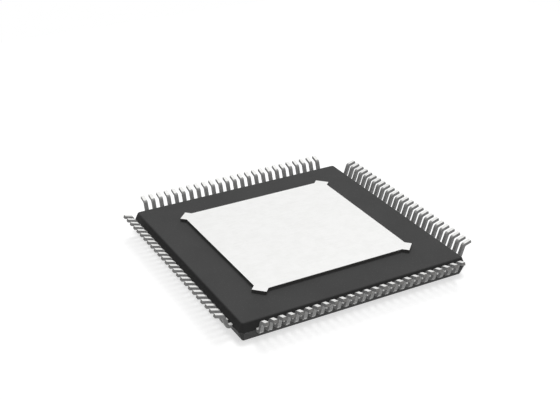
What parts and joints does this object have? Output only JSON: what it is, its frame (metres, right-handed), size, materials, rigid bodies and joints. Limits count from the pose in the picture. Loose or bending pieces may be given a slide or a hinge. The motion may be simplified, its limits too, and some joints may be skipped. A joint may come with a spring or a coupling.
{
  "type": "quad flat pack chip",
  "caption": "Quad flat pack chip: a flat square charcoal moulding with gull-wing leads on all four sides, a bare metal pad under it and a white dot in one corner of its marked face.",
  "frame": {"origin": "centre of the package on the plane that the lead feet stand on", "axes": "+Z out of the marked top face; +X and +Y along the sides, with the white dot at the -X, -Y corner"},
  "size_m": [0.016, 0.016, 0.0015],
  "materials": {
    "epoxy_moulding": "matte",
    "tin_plating": "satin",
    "pad_plating": "matte",
    "silver_glue": "matte",
    "silicon": "polished",
    "white_ink": "matte",
    "gold_wire": "polished"
  },
  "bodies": {
    "root": {"mould_body": "epoxy_moulding", "exposed_pad": "pad_plating", "die_attach": "silver_glue", "silicon_die": "silicon", "pin_one_dot": "white_ink", "leads_01_05": "tin_plating", "leads_06_10": "tin_plating", "leads_11_15": "tin_plating", "leads_16_20": "tin_plating", "leads_21_25": "tin_plating", "leads_26_30": "tin_plating", "leads_31_35": "tin_plating", "leads_36_40": "tin_plating", "leads_41_45": "tin_plating", "leads_46_50": "tin_plating", "leads_51_55": "tin_plating", "leads_56_60": "tin_plating", "leads_61_65": "tin_plating", "leads_66_70": "tin_plating", "leads_71_75": "tin_plating", "leads_76_80": "tin_plating", "leads_81_85": "tin_plating", "leads_86_90": "tin_plating", "leads_91_95": "tin_plating", "leads_96_100": "tin_plating", "bond_wires_01_25": "gold_wire", "bond_wires_26_50": "gold_wire", "bond_wires_51_75": "gold_wire", "bond_wires_76_100": "gold_wire"}
  },
  "joints": []
}
